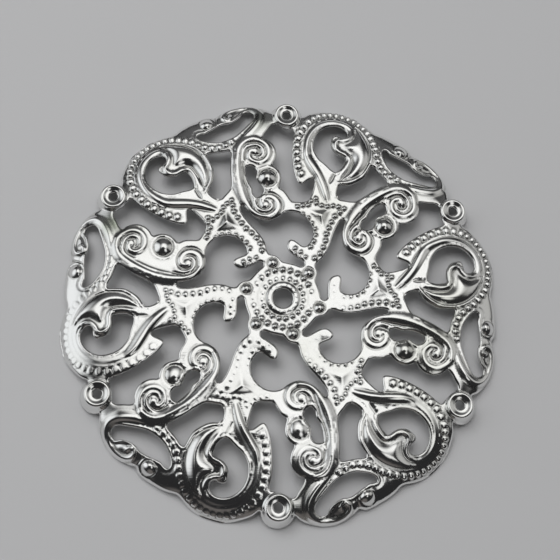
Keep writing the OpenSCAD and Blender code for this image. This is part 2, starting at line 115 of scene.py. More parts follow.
# ---- grooves: x, y, half width, depth ----
GROOVES = {
    "volute_moat": [(13.3, 0.6, 0.25, 0.04), (14.3, 0.35, 0.3, 0.12), (15.3, 0.5, 0.32, 0.15), (16.1, 1.08, 0.34, 0.16), (16.55, 1.9, 0.34, 0.16), (16.55, 2.8, 0.3, 0.14), (16.3, 3.5, 0.27, 0.12), (15.75, 3.98, 0.27, 0.14), (15.05, 4.05, 0.28, 0.15), (14.45, 3.85, 0.26, 0.14), (14.1, 3.4, 0.22, 0.12), (14.08, 2.75, 0.2, 0.12), (14.45, 2.35, 0.2, 0.12), (14.95, 2.42, 0.18, 0.1), (15.2, 2.75, 0.14, 0.05)],
    "volute_valley": [(15.2, 1.68, 0.16, 0.04), (14.5, 1.52, 0.2, 0.12), (13.85, 1.74, 0.22, 0.16), (13.38, 2.4, 0.23, 0.18), (13.24, 3.2, 0.23, 0.18), (13.48, 4.0, 0.23, 0.18), (14.05, 4.64, 0.24, 0.18), (15.0, 5.08, 0.26, 0.17), (15.9, 5.4, 0.26, 0.1)],
    "scroll_valley": [(15.2, 5.2, 0.25, 0.08), (16.1, 5.48, 0.3, 0.15), (17.1, 5.74, 0.3, 0.16), (18.7, 6.35, 0.3, 0.16), (20.5, 6.55, 0.3, 0.16), (21.6, 6.6, 0.25, 0.1)],
    "scroll_line": [(13.6, 4.7, 0.2, 0.03), (14.6, 5.25, 0.28, 0.1), (16.2, 5.95, 0.3, 0.12), (18.2, 6.65, 0.3, 0.12), (20.2, 6.95, 0.3, 0.12), (22.3, 7.0, 0.3, 0.12), (23.9, 6.76, 0.28, 0.14), (24.75, 6.15, 0.26, 0.16), (25.1, 5.2, 0.23, 0.18), (25.02, 4.35, 0.22, 0.18), (24.66, 3.6, 0.2, 0.16), (24.05, 3.17, 0.2, 0.16), (23.35, 3.06, 0.2, 0.16), (22.7, 3.3, 0.2, 0.16), (22.22, 3.88, 0.2, 0.16), (22.08, 4.55, 0.2, 0.16), (22.32, 5.14, 0.2, 0.15), (22.8, 5.42, 0.18, 0.12), (23.15, 5.3, 0.15, 0.06)],
    "volute_pit": [(21.9, 6.3, 0.2, 0.05), (22.6, 6.28, 0.24, 0.12), (23.35, 6.22, 0.24, 0.14), (23.92, 5.82, 0.22, 0.14), (24.2, 5.2, 0.22, 0.14), (24.18, 4.55, 0.22, 0.14), (23.85, 4.08, 0.22, 0.14), (23.35, 3.93, 0.22, 0.13), (22.95, 4.2, 0.2, 0.12), (22.85, 4.7, 0.18, 0.08)],
    "leaf_valley": [(19.2, -8.45, 0.22, 0.06), (20.2, -9.35, 0.26, 0.14), (21.5, -10.1, 0.28, 0.16), (22.9, -10.5, 0.28, 0.16), (23.65, -10.1, 0.26, 0.12)],
    "leaf_outer": [(19.2, -9.0, 0.25, 0.06), (19.6, -10.4, 0.28, 0.14), (20.55, -11.85, 0.3, 0.16), (22.1, -12.8, 0.3, 0.16), (24.0, -13.15, 0.3, 0.14), (25.85, -12.9, 0.28, 0.12), (27.4, -12.2, 0.28, 0.1), (28.9, -11.0, 0.26, 0.1)],
    "bead_channel": [(19.6, -2.5, 0.4, 0.02), (20.4, -2.25, 0.62, 0.05), (21.5, -1.95, 0.66, 0.07), (22.8, -1.75, 0.68, 0.07), (24.1, -1.7, 0.68, 0.07), (25.3, -1.8, 0.68, 0.07), (26.5, -2.0, 0.68, 0.07), (27.6, -2.4, 0.66, 0.07), (28.6, -3.0, 0.66, 0.07), (29.5, -3.7, 0.64, 0.07), (30.2, -4.6, 0.62, 0.07), (30.75, -5.6, 0.62, 0.07), (31.05, -6.6, 0.62, 0.07), (31.15, -7.7, 0.62, 0.07), (31.05, -8.8, 0.62, 0.07), (30.65, -9.9, 0.62, 0.07), (30.05, -10.9, 0.62, 0.07), (29.2, -11.9, 0.62, 0.07), (28.3, -12.7, 0.6, 0.06), (27.3, -13.3, 0.6, 0.05), (26.2, -13.8, 0.6, 0.05), (25.0, -14.15, 0.6, 0.05), (23.8, -14.35, 0.6, 0.05), (22.6, -14.6, 0.6, 0.05), (21.6, -15.0, 0.55, 0.04), (20.75, -15.75, 0.5, 0.04), (20.1, -16.7, 0.45, 0.03), (19.75, -17.4, 0.35, 0.01)],
    "stem_cut": [(15.8, -6.0, 0.2, 0.04), (17.0, -5.55, 0.26, 0.1), (18.4, -5.05, 0.28, 0.12), (19.7, -4.4, 0.28, 0.12), (21.0, -3.55, 0.26, 0.1), (22.1, -2.9, 0.2, 0.05)],
    "stem_line": [(16.1, -6.95, 0.15, 0.05), (17.6, -6.7, 0.18, 0.12), (19.1, -6.2, 0.18, 0.12), (20.5, -5.5, 0.18, 0.12), (21.8, -4.75, 0.18, 0.1), (22.8, -4.2, 0.15, 0.05)],
    "rim_hollow": [(29.4, 8.5, 0.25, 0.06), (29.95, 8.0, 0.45, 0.16), (30.5, 7.45, 0.35, 0.12), (30.95, 6.9, 0.2, 0.04)],
    "rim_notch": [(27.9, 10.95, 0.2, 0.05), (28.7, 11.1, 0.28, 0.18), (29.7, 11.35, 0.3, 0.2), (30.7, 11.8, 0.3, 0.14)],
    "leaf_tip": [(18.5, -6.75, 0.15, 0.04), (19.1, -7.05, 0.34, 0.18), (19.8, -7.4, 0.3, 0.16), (20.5, -7.75, 0.15, 0.05)],
}
# ---- bosses: x, y, radius, rise, moat depth, steepness (under 1 ball, over 1 bell) ----
BOSSES = [
    (19.2, 2.75, 1.32, 0.62, 0.08, 1.1),
    (28.3, 12.6, 1.08, 0.5, 0.06, 1.0),
    (5.35, 1.62, 0.72, 0.42, 0.1, 0.75),
    (23.6, 4.86, 0.62, 0.25, 0.0, 0.5),
    (14.72, 2.98, 0.68, 0.27, 0.0, 0.5),
]
# ---- round ridges: x, y, radius of the crest, half width, rise ----
ROUNDS = [(19.2, 2.75, 1.74, 0.3, 0.14), (28.3, 12.6, 1.3, 0.22, 0.1)]
# ---- three-sided rises at the junctions of the arms: x, y, rise, bearings of the faces, reach of each ----
PEAKS = [(13.3, -5.55, 0.44, (128, 8, -112), (1.35, 1.2, 1.35))]
# ---- rows of beads: bead radius, rise, pitch, on an arm or not, line x, y ----
BEAD_ROWS = [
    (0.57, 0.28, 1.26, False, [(20.1, -2.4), (21.4, -1.95), (22.7, -1.75), (24.05, -1.68), (25.2, -1.75), (26.4, -1.95), (27.5, -2.3), (28.5, -2.9), (29.4, -3.6)]),
    (0.5, 0.34, 0.97, False, [(30.05, -4.35), (30.6, -5.2), (30.95, -6.1), (31.15, -7.0), (31.2, -8.0), (31.05, -8.9), (30.75, -9.8), (30.25, -10.7), (29.65, -11.5), (28.9, -12.3)]),
    (0.52, 0.25, 1.14, False, [(28.05, -12.95), (27.0, -13.45), (25.95, -13.85), (24.85, -14.15), (23.75, -14.3), (22.6, -14.55), (21.6, -15.0), (20.75, -15.75), (20.15, -16.65), (19.8, -17.35)]),
    (0.4, 0.24, 1.04, True, [(6.45, -4.7), (7.06, -5.4), (8.1, -5.92), (9.07, -6.26), (10.1, -6.34), (11.05, -6.64), (12.2, -7.1), (13.3, -7.65), (14.05, -8.5)]),
    (0.33, 0.2, 0.96, True, [(8.2, -4.05), (9.1, -4.5), (10.1, -4.72), (11.0, -4.66), (12.0, -4.2), (12.87, -3.55), (13.35, -2.75)]),
    (0.36, 0.22, 0.88, True, [(14.55, -1.95), (14.8, -2.75), (14.9, -3.6), (15.6, -4.0), (16.05, -4.75)]),
    (0.36, 0.22, 0.87, True, [(15.3, -4.85), (14.95, -5.7), (14.8, -6.6), (15.0, -7.4), (14.85, -8.3), (14.6, -9.1)]),
    (0.3, 0.16, 0.9, True, [(6.6, -3.3), (7.3, -2.6), (7.85, -1.7)]),
    (0.28, 0.12, 0.9, True, [(6.5, -2.3), (7.05, -1.75)]),
]
# ---- how sharply each repeat is pressed: arm beads near the hub, arm beads near the junction, junction, border beads, band round the comma, spirals and their boss, grooves ----
PRESSED = [
    (0.1, 0.8, 0.9, 0.95, 1.0, 1.0, 1.0),
    (1.0, 1.0, 1.0, 1.0, 1.0, 1.0, 1.0),
    (0.9, 0.9, 1.0, 1.0, 1.0, 0.8, 1.0),
    (0.25, 0.4, 0.5, 0.16, 0.15, 0.55, 0.4),
    (0.2, 0.12, 0.6, 0.28, 0.22, 0.55, 0.4),
    (0.05, 0.45, 0.4, 0.6, 0.25, 0.8, 0.5),
]
BAND = ("stem_round", "leaf_rim")     # the ridges round the comma
SPIRAL = ("volute_left", "volute_left_inner", "volute_right", "volute_right_inner", "volute_valley", "volute_pit")     # the lines of the spirals, whose ridges have a broad top
# ---- greenish tarnish, on the finished part: x, y, radius, strength ----
TARNISH = [(-25.9, 10.8, 2.7, 0.85), (-4.3, 29.0, 3.2, 0.45), (-12.5, 25.5, 2.6, 0.15)]
# ---- rings of beads about the middle: radius of the ring, beads, bead radius, rise, bearing of the first ----
BEAD_RINGS = [(2.1, 16, 0.2, 0.07, 0), (3.05, 19, 0.35, 0.2, 4), (4.42, 24, 0.41, 0.27, 1)]
# ---- how sharply they are pressed: bearing, outer ring, both inner rings ----
HUB_PRESSED = [(0, 0.9, 0.7), (20, 1.0, 0.8), (40, 1.0, 0.5), (60, 1.0, 0.35), (75, 0.9, 0.25), (90, 0.5, 0.35), (110, 0.3, 0.4), (130, 0.12, 0.2), (150, 0.12, 0.12), (170, 0.3, 0.35), (190, 0.55, 0.9), (210, 0.85, 1.0), (230, 0.95, 1.0), (250, 0.8, 1.0), (270, 0.85, 1.0), (290, 0.95, 0.7), (302, 0.85, 0.55), (315, 0.15, 0.5), (330, 0.05, 0.35), (345, 0.2, 0.5), (360, 0.9, 0.7)]
# ---- shallow dents of a thin pressed sheet: bearing, wave length, height ----
DENTS = [(17, 8.3, 0.05), (73, 6.1, 0.03), (131, 11.0, 0.075), (101, 3.9, 0.012)]


# ------------------------------------------------------------------ plane curves
def curve(table, parts, closed):
    """Centripetal Catmull-Rom curve through the rows of a table; columns after x and y are carried along."""
    P = np.array(table, float)
    n = len(P)
    out = []
    for i in range(n if closed else n - 1):
        p1, p2 = P[i], P[(i + 1) % n]
        p0 = P[i - 1] if closed or i > 0 else 2 * p1 - p2
        p3 = P[(i + 2) % n] if closed or i + 2 < n else 2 * p2 - p1
        t1 = math.sqrt(max(1e-6, math.hypot(*(p1 - p0)[:2])))
        t2 = t1 + math.sqrt(max(1e-6, math.hypot(*(p2 - p1)[:2])))
        t3 = t2 + math.sqrt(max(1e-6, math.hypot(*(p3 - p2)[:2])))
        for j in range(parts):
            t = t1 + (t2 - t1) * j / parts
            a1 = (t1 - t) / t1 * p0 + t / t1 * p1
            a2 = (t2 - t) / (t2 - t1) * p1 + (t - t1) / (t2 - t1) * p2
            a3 = (t3 - t) / (t3 - t2) * p2 + (t - t2) / (t3 - t2) * p3
            b1 = (t2 - t) / t2 * a1 + t / t2 * a2
            b2 = (t3 - t) / (t3 - t1) * a2 + (t - t1) / (t3 - t1) * a3
            out.append((t2 - t) / (t2 - t1) * b1 + (t - t1) / (t2 - t1) * b2)
    if not closed:
        out.append(P[-1])
    return np.array(out)


def even(line, step, closed):
    """The line again with points an even step apart, its other columns carried along."""
    L = np.vstack([line, line[:1]]) if closed else line
    s = np.concatenate([[0], np.cumsum(np.hypot(*np.diff(L[:, :2], axis=0).T))])
    n = max(3 if closed else 2, int(round(s[-1] / step)) + (0 if closed else 1))
    t = np.linspace(0, s[-1], n, endpoint=not closed)
    return np.stack([np.interp(t, s, L[:, c]) for c in range(L.shape[1])], 1)


def turned(P, deg):
    a = math.radians(deg)
    c, s = math.cos(a), math.sin(a)
    return np.stack([P[..., 0] * c - P[..., 1] * s, P[..., 0] * s + P[..., 1] * c], -1)


def every(line):
    """The line in each repeat."""
    return [np.hstack([turned(line[:, :2], 60 * k), line[:, 2:]]) for k in range(REPEATS)]


def ring(r, n, at=(0, 0), first=0.0):
    a = np.radians(first) + np.arange(n) * 2 * math.pi / n
    return np.stack([at[0] + r * np.cos(a), at[1] + r * np.sin(a)], 1)


def outline():
    """Outside edge: the wavy border, and the round cup of each eyelet where it stands out of it."""
    rows = [(b + 60 * k, r) for k in range(REPEATS) for b, r in BORDER_SCROLL + BORDER_LEAF]
    C = curve([(b, r) for b, r in rows] + [(b + 360, r) for b, r in rows[:2]], 4, False)
    bearings = np.arange(rows[0][0], rows[0][0] + 360, 0.1)
    r = np.interp(bearings, C[:, 0], C[:, 1])
    off = (bearings + 30) % 60 - 30
    side = 30.3 * np.sin(np.radians(off))
    cup = np.where(np.abs(side) < EYE_OUT, 30.3 * np.cos(np.radians(off)) + np.sqrt(np.clip(EYE_OUT ** 2 - side ** 2, 0, None)), 0)
    r = np.maximum(r, cup)
    return np.stack([r * np.cos(np.radians(bearings)), r * np.sin(np.radians(bearings))], 1)


# ------------------------------------------------------------------ heights, mm
def bell(t):
    t = np.clip(np.abs(t), 0, 1)
    return (1 - t * t) ** 2


def strand(t):
    """Half-round section."""
    t = np.clip(np.abs(t), 0, 1)
    return (1 - t * t) ** 1.2


def flat_strand(t):
    """Section of a strand with a broad top."""
    t = np.clip(np.abs(t), 0, 1)
    return (1 - t ** 5) ** 1.1


def smooth(t):
    t = np.clip(t, 0, 1)
    return t * t * (3 - 2 * t)


def on_line(P, line, width):
    """Indices of the points near a line, their distance from it, which side they are on and the line's other columns there."""
    lo, hi = line[:, :2].min(0) - width, line[:, :2].max(0) + width
    idx = np.nonzero(np.all((P > lo) & (P < hi), axis=1))[0]
    if not len(idx):
        return idx, None, None, None
    Q = P[idx]
    best = np.full(len(Q), 1e9)
    side = np.zeros(len(Q))
    extra = np.zeros((len(Q), line.shape[1] - 2))
    for a, b in zip(line[:-1], line[1:]):
        d = b[:2] - a[:2]
        L2 = float(d @ d)
        if L2 < 1e-12:
            continue
        m0, m1 = np.minimum(a[:2], b[:2]) - width, np.maximum(a[:2], b[:2]) + width
        j = np.nonzero((Q[:, 0] > m0[0]) & (Q[:, 0] < m1[0]) & (Q[:, 1] > m0[1]) & (Q[:, 1] < m1[1]))[0]
        if not len(j):
            continue
        t = np.clip(((Q[j] - a[:2]) @ d) / L2, 0, 1)
        off = Q[j] - (a[:2] + t[:, None] * d)
        dist = np.hypot(off[:, 0], off[:, 1])
        m = dist < best[j]
        jm = j[m]
        best[jm] = dist[m]
        side[jm] = d[0] * off[m, 1] - d[1] * off[m, 0]
        extra[jm] = a[2:] + t[m, None] * (b[2:] - a[2:])
    m = best < width
    return idx[m], best[m], side[m], extra[m]


def inside(P, table):
    """Indices of the points near a closed outline, and how far inside it each is."""
    L = curve(table, 5, True)
    C = np.vstack([L, L[:1]])
    i, d, side, _ = on_line(P, C, 3.0)
    area = np.sum(L[:, 0] * np.roll(L[:, 1], -1) - L[:, 1] * np.roll(L[:, 0], -1))
    return i, np.where(side * np.sign(area) > 0, d, -d)


def ridge_lines():
    return {name: curve(table, 4, False) for name, table in RIDGES.items()}


FALL_LINE = curve(FALL, 8, False)


def fall(P):
    """Top of the sheet without its relief: a flat field whose border turns down."""
    r = np.hypot(P[:, 0], P[:, 1])
    z = FIELD - np.interp(r, *FALL_LINE.T)
    for bearing, length, height in DENTS:
        a = math.radians(bearing)
        z = z + height * np.sin((P[:, 0] * math.cos(a) + P[:, 1] * math.sin(a)) * 2 * math.pi / length)
    return z


def beads():
    """Every small bead: x, y, radius, rise, how far it stands level on the falling border."""
    out = []
    for r, h, pitch, arm, table in BEAD_ROWS:
        row = even(curve(table, 8, False), pitch, False)
        for k in range(REPEATS):
            for x, y in turned(row, 60 * k):
                out.append((x, y, r, h * (np.interp(math.hypot(x, y), (8.5, 13), PRESSED[k][:2]) if arm else PRESSED[k][3]), 0.0 if arm else PRESSED[k][3]))
    bearing, outer, inner = np.array(HUB_PRESSED).T
    for R, n, r, h, first in BEAD_RINGS:
        for x, y in ring(R, n, (0, 0), first):
            share = np.interp(math.degrees(math.atan2(y, x)) % 360, bearing, outer if R > 4 else inner)
            out.append((x, y, r, h * share, 0.0))
    return out


def relief(P, fine=True):
    """Pressed relief over the plain sheet; without the fine forms for the underside."""
    up, down = np.zeros(len(P)), np.zeros(len(P))
    for H, W, table in SWELLS.values():
        for k in range(REPEATS):
            i, d = inside(P, turned(np.array(table), 60 * k))
            m = d > 0
            up[i[m]] = np.maximum(up[i[m]], H * (1 - (1 - np.clip(d[m] / W, 0, 1)) ** 2))
    for name, line in ridge_lines().items():
        if not fine and line[:, 2:4].max() < 0.4:
            continue
        for k, L in enumerate(every(line)):
            i, d, side, ex = on_line(P, L, line[:, 2:4].max())
            if len(i):
                section = flat_strand if name in SPIRAL else strand
                h = ex[:, 2] * (PRESSED[k][4] if name in BAND else PRESSED[k][5] if name in SPIRAL else 1) * section(d / np.where(side > 0, ex[:, 1], ex[:, 0]))
                up[i] = np.maximum(up[i], h) + 0.12 * np.minimum(up[i], h)
    for x, y, H, faces, reach in PEAKS:
        for k in range(REPEATS):
            c = turned(np.array([x, y]), 60 * k)
            q = P - c
            i = np.nonzero(np.hypot(q[:, 0], q[:, 1]) < 4)[0]
            q = q[i]
            far = np.max([(q[:, 0] * math.cos(math.radians(f + 60 * k)) + q[:, 1] * math.sin(math.radians(f + 60 * k))) / w for f, w in zip(faces, reach)], axis=0)
            t = np.clip(1 - far, 0, 1)
            up[i] = np.maximum(up[i], H * PRESSED[k][2] * (t * t * (1.6 - 0.6 * t)))
    if fine:
        for name, table in GROOVES.items():
            line = curve(table, 4, False)
            for k, L in enumerate(every(line)):
                i, d, side, ex = on_line(P, L, line[:, 2].max())
                if len(i) and not (name == "scroll_valley" and k == BLIND):
                    down[i] = np.maximum(down[i], ex[:, 1] * PRESSED[k][5 if name in SPIRAL else 6] * bell(d / ex[:, 0]))
    z = up - down
    r = np.hypot(P[:, 0], P[:, 1])
    if fine:
        z = z + 0.12 * bell((r - 1.95) / 0.68) - 0.04 * bell((r - 2.6) / 0.3) - 0.05 * bell((r - 3.72) / 0.35)
    spots = []
    for x, y, rad, h, moat, power in BOSSES:
        for k in range(REPEATS):
            q = turned(np.array([x, y]), 60 * k)
            spots.append((q[0], q[1], rad, h * (PRESSED[k][5] if 12 < math.hypot(x, y) < 26 else 1), moat, power, False, 0.0))
    if fine:
        for x, y, rad, w, h in ROUNDS:
            for k in range(REPEATS):
                c = turned(np.array([x, y]), 60 * k)
                q = np.hypot(P[:, 0] - c[0], P[:, 1] - c[1])
                m = np.abs(q - rad) < w
                z[m] = np.maximum(z[m], h * (PRESSED[k][5] if math.hypot(x, y) < 26 else 1) * bell((q[m] - rad) / w))
        spots += [(x, y, rad, h, 0.2 * h, 0.8, True, level) for x, y, rad, h, level in beads()]
    order = np.argsort(P[:, 0], kind="stable")
    xs = P[order, 0]
    for x, y, rad, h, moat, power, added, level in spots:
        a, b = np.searchsorted(xs, [x - 1.5 * rad, x + 1.5 * rad])
        i = order[a:b]
        i = i[np.abs(P[i, 1] - y) < 1.5 * rad]
        if not len(i):
            continue
        t = np.hypot(P[i, 0] - x, P[i, 1] - y) / rad
        cap = h * np.clip(1 - t * t, 0, 1) ** power
        if level:                         # broad and level on top, though the sheet falls away under it
            t4 = np.clip(1 - t ** 4, 0, 1)
            here = fall(np.vstack([P[i], [[x, y]]]))
            cap = h * t4 ** 0.8 + level * np.sqrt(t4) * (here[-1] - here[:-1])
        low = z[i] - moat * bell((t - 1.1) / 0.35)
        z[i] = low + cap if added else np.where(t < 1, np.maximum(low, cap), low)
    return z


# ---- section of an eyelet: radius, height over the field ----
EYE_SECTION = [(0.0, -0.18), (0.65, -0.18), (0.85, -0.15), (1.1, -0.1), (1.32, -0.01), (1.52, 0.08), (1.68, 0.1), (1.84, 0.02), (1.97, -0.18), (2.1, -0.5), (2.28, -1.05), (2.45, -1.6), (2.8, -2.6)]


def with_eyelets(P, z):
    """The eyelet cups stand in the border at the height of the field."""
    z = z.copy()
    section = curve(EYE_SECTION[1:], 6, False)
    for k in range(REPEATS):
        c = turned(np.array([EYE_AT, 0.0]), 60 * k)
        q = np.hypot(P[:, 0] - c[0], P[:, 1] - c[1])
        m = q < 2.8
        cup = FIELD + np.interp(q[m], section[:, 0], section[:, 1])
        z[m] = np.where(q[m] < 1.6, cup, np.maximum(cup, z[m]))
    return z


# ------------------------------------------------------------------ edges of the sheet
STEP_EDGE = 0.25
edges = [("border", outline())]
for name, table in OPENINGS.items():
    for k, L in enumerate(every(curve(table, 6, True))):
        if name == "slot" and k == BLIND:
            continue
        edges.append((name, L))
edges.append(("hole", ring(HOLE_R, 120)))
for k in range(REPEATS):
    edges.append(("eye", ring(EYE_R, 60, turned(np.array([EYE_AT, 0.0]), 60 * k))))
loops, dense, dense_name = [], [], []
for name, L in edges:
    step = 0.15 if name in ("hole", "eye") else STEP_EDGE
    C = even(L, step, True)
    area = 0.5 * np.sum(C[:, 0] * np.roll(C[:, 1], -1) - C[:, 1] * np.roll(C[:, 0], -1))
    if (area > 0) != (name == "border"):
        C = C[::-1]
    loops.append((name, C))              # metal on the left of every loop
    D = even(C, 0.05, True)
    dense.append(D)
    dense_name += [name] * len(D)
dense = np.vstack(dense)
dense_name = np.array(dense_name)

# metal or not, on a fine grid, by counting the edges crossed
CELL = 0.04
SIDE = int(70 / CELL)
count = np.zeros((SIDE, SIDE + 1), np.int32)
for name, C in loops:
    A, B = C, np.roll(C, -1, axis=0)
    for (ax, ay), (bx, by) in zip((A + 35) / CELL - 0.5, (B + 35) / CELL - 0.5):
        if ay == by:
            continue
        if ay > by:
            ax, ay, bx, by = bx, by, ax, ay
        rows = np.arange(math.ceil(ay), math.ceil(by))
        cols = np.ceil(ax + (rows - ay) / (by - ay) * (bx - ax)).astype(int)
        np.add.at(count, (rows, cols), 1)
metal = (np.cumsum(count, axis=1) % 2).astype(bool)


def in_metal(P):
    g = ((P + 35) / CELL).astype(int)
    return metal[g[:, 1], g[:, 0]]


tree = KDTree(len(dense))
for i, (x, y) in enumerate(dense):
    tree.insert((x, y, 0), i)
tree.balance()


def to_edge(P):
    """Distance of each point to the nearest edge of the sheet, and that edge's name."""
    found = [tree.find((x, y, 0)) for x, y in P]
    return np.array([f[2] for f in found]), dense_name[[f[1] for f in found]]


# ------------------------------------------------------------------ points of the top face
class Cloud:
    """Points kept at least a given distance from those kept before."""

    def __init__(self):
        self.cell, self.boxes, self.points = 0.3, {}, []

    def add(self, x, y, gap):
        cx, cy = int(math.floor(x / self.cell)), int(math.floor(y / self.cell))
        g2 = gap * gap
        for i in (cx - 1, cx, cx + 1):
            for j in (cy - 1, cy, cy + 1):
                for px, py in self.boxes.get((i, j), ()):
                    if (px - x) ** 2 + (py - y) ** 2 < g2:
                        return
        self.boxes.setdefault((cx, cy), []).append((x, y))
        self.points.append((x, y))


def crowd(fine):
    """Inside points: rows along every edge, lines along every ridge, rings round every bead, and an even fill."""
    cloud = Cloud()
    start = []
    for name, C in loops:
        for x, y in C:
            cloud.boxes.setdefault((int(math.floor(x / 0.3)), int(math.floor(y / 0.3))), []).append((x, y))
            start.append((x, y))
    groups = []
    if fine:
        n = len(next(C for name, C in loops if name == "hole"))
        for q in np.arange(1, 13) * 0.095:
            groups.append((ring(HOLE_R + q, n if q < 0.6 else n + 24), 0.05, 0.05))
        n = len(next(C for name, C in loops if name == "eye"))
        for k in range(REPEATS):
            c = turned(np.array([EYE_AT, 0.0]), 60 * k)
            for q in (0.75, 0.85, 0.95, 1.05, 1.16, 1.28, 1.4, 1.52, 1.64, 1.76, 1.88, 1.98, 2.07, 2.15, 2.23, 2.31, 2.39):
                groups.append((ring(q, n if q < 0.9 else 2 * n, c), 0.05, 0.05))
        for name, C in loops:
            d = np.roll(C, -1, axis=0) - np.roll(C, 1, axis=0)
            left = np.stack([-d[:, 1], d[:, 0]], 1) / np.hypot(d[:, 0], d[:, 1])[:, None]
            for off, gap in ((0.07, 0.06), (0.18, 0.09), (0.34, 0.12)):
                groups.append((C + left * off, gap, off * 0.8))
        small = beads()
        for x, y, r, h, level in small:
            groups.append((np.array([[x, y]]), 0.05, 0.1))
            for q, n in ((0.42, 6), (0.68, 9), (0.86, 12), (1.0, 14)) if level else ((0.4, 6), (0.75, 9), (1.0, 12)):
                groups.append((ring(q * r, n, (x, y)), 0.06 if level else 0.07, 0.08))
        for x, y, r, h, moat, power in BOSSES:
            for k in range(REPEATS):
                c = turned(np.array([x, y]), 60 * k)
                for q in (0.0, 0.2, 0.4, 0.6, 0.78, 0.9, 1.0, 1.15, 1.3):
                    n = max(1, int(round(2 * math.pi * q * r / 0.22)))
                    groups.append((ring(q * r, n, c), 0.08, 0.08))
        for line in ridge_lines().values():
            L = even(line, 0.22, False)
            d = np.gradient(L[:, :2], axis=0)
            left = np.stack([-d[:, 1], d[:, 0]], 1) / np.hypot(d[:, 0], d[:, 1])[:, None]
            for share in (0, 0.3, -0.3, 0.6, -0.6, 0.95, -0.95):
                half = L[:, 3] if share > 0 else L[:, 2]
                for k in range(REPEATS):
                    groups.append((turned(L[:, :2] + left * (share * half)[:, None], 60 * k), 0.12, 0.1))
        for table in GROOVES.values():
            L = even(curve(table, 6, False), 0.22, False)
            d = np.gradient(L[:, :2], axis=0)
            left = np.stack([-d[:, 1], d[:, 0]], 1) / np.hypot(d[:, 0], d[:, 1])[:, None]
            for share in (0, 0.5, -0.5, 1, -1):
                for k in range(REPEATS):
                    groups.append((turned(L[:, :2] + left * (share * L[:, 2])[:, None], 60 * k), 0.1, 0.1))
    pitch = 0.27 if fine else 0.5
    n = int(34 / pitch) + 1
    i, j = np.meshgrid(np.arange(-n, n + 1), np.arange(-int(n * 1.16), int(n * 1.16) + 1))
    fill = np.stack([(i + 0.5 * (j % 2)) * pitch, j * pitch * 0.866], -1).reshape(-1, 2)
    groups.append((fill[np.hypot(*fill.T) < 33.2], pitch * 0.68, pitch * 0.4))
    P = np.vstack([g[0] for g in groups])
    gap = np.concatenate([np.full(len(g[0]), g[1]) for g in groups])
    clear = np.concatenate([np.full(len(g[0]), g[2]) for g in groups])
    ok = np.hypot(*P.T) < 33.3
    P, gap, clear = P[ok], gap[ok], clear[ok]
    ok = in_metal(P)
    P, gap, clear = P[ok], gap[ok], clear[ok]
    d, _ = to_edge(P)
    ok = d > clear
    for (x, y), g in zip(P[ok], gap[ok]):
        cloud.add(float(x), float(y), float(g))
    return np.vstack([np.array(start), np.array(cloud.points)]), len(start)


def triangles(P):
    """Faces over the metal: those on the left of the edges, and all that join them without crossing an edge."""
    E, base = [], 0
    for name, C in loops:
        n = len(C)
        E += [(base + i, base + (i + 1) % n) for i in range(n)]
        base += n
    v, e, f, ov, oe, of_ = delaunay_2d_cdt([Vector(p) for p in P.tolist()], E, [], 0, 1e-5, True)
    if len(v) != len(P):
        raise RuntimeError("edges cross: %d points became %d" % (len(P), len(v)))
    back = np.array([o[0] for o in ov])
    F = back[np.array([t for t in f if len(t) == 3])]
    a, b, c = P[F[:, 0]], P[F[:, 1]], P[F[:, 2]]
    area = (b[:, 0] - a[:, 0]) * (c[:, 1] - a[:, 1]) - (b[:, 1] - a[:, 1]) * (c[:, 0] - a[:, 0])
    if area.sum() < 0:
        F = F[:, ::-1]
    rows = F.tolist()
    owner = {}
    for k, (i, j, m) in enumerate(rows):
        owner[i, j] = owner[j, m] = owner[m, i] = k
    edge = set(E)
    todo = [owner[pair] for pair in E]
    metal = set(todo)
    while todo:
        i, j, m = rows[todo.pop()]
        for pair in ((i, j), (j, m), (m, i)):
            k = owner.get(pair[::-1])
            if k is not None and pair not in edge and k not in metal:
                metal.add(k)
                todo.append(k)
    return F[sorted(metal)]


def top_height(P):
    d, name = to_edge(P)
    z = fall(P) + relief(P)
    row = np.array([LIPS.get(n, (0.3, 0.2, 0.0, 0.6, 0.2, 0.0)) for n in name])
    z = z + row[:, 2] * bell((d - row[:, 0]) / row[:, 1]) - row[:, 5] * bell((d - row[:, 3]) / row[:, 4])
    plain = np.isin(name, ["hole", "eye"])
    z = z - np.where(plain, 0, np.where(name == "border", 0.22, 0.1)) * np.clip(1 - d / 0.8, 0, 1) ** 2
    z = with_eyelets(P, z)
    roll = np.clip(1 - d / 0.16, 0, 1)
    return z - 0.1 * roll * roll


top, n_edge = crowd(True)
top_z = top_height(top)
top_f = triangles(top)
low, n_low = crowd(False)
low_f = triangles(low)[:, ::-1]
low_z = fall(low) + 0.85 * np.maximum(relief(low, False), 0)
low_z = with_eyelets(low, low_z) - SHEET
low_z = np.maximum(low_z, 0)
low_z[:n_edge] = np.minimum(low_z[:n_edge], top_z[:n_edge] - 0.3)
low_z = np.maximum(low_z, 0)
top_z[:n_edge] = np.maximum(top_z[:n_edge], low_z[:n_edge] + 0.3)

walls, base = [], 0
shift = len(top)
for name, C in loops:
    n = len(C)
    i = base + np.arange(n)
    j = base + (np.arange(n) + 1) % n
    walls.append(np.stack([i, i + shift, j + shift, j], 1))   # metal on the left, so the wall faces right
    base += n
walls = np.vstack(walls)
xyz = np.vstack([np.hstack([turned(top, TURN), top_z[:, None]]), np.hstack([turned(low, TURN), low_z[:, None]])]) / 1000.0

mesh = bpy.data.meshes.new("filigree")
mesh.from_pydata(xyz.tolist(), [], top_f.tolist() + (low_f + shift).tolist() + walls.tolist())
mesh.validate()
mesh.update()
mesh.polygons.foreach_set("use_smooth", [True] * len(mesh.polygons))
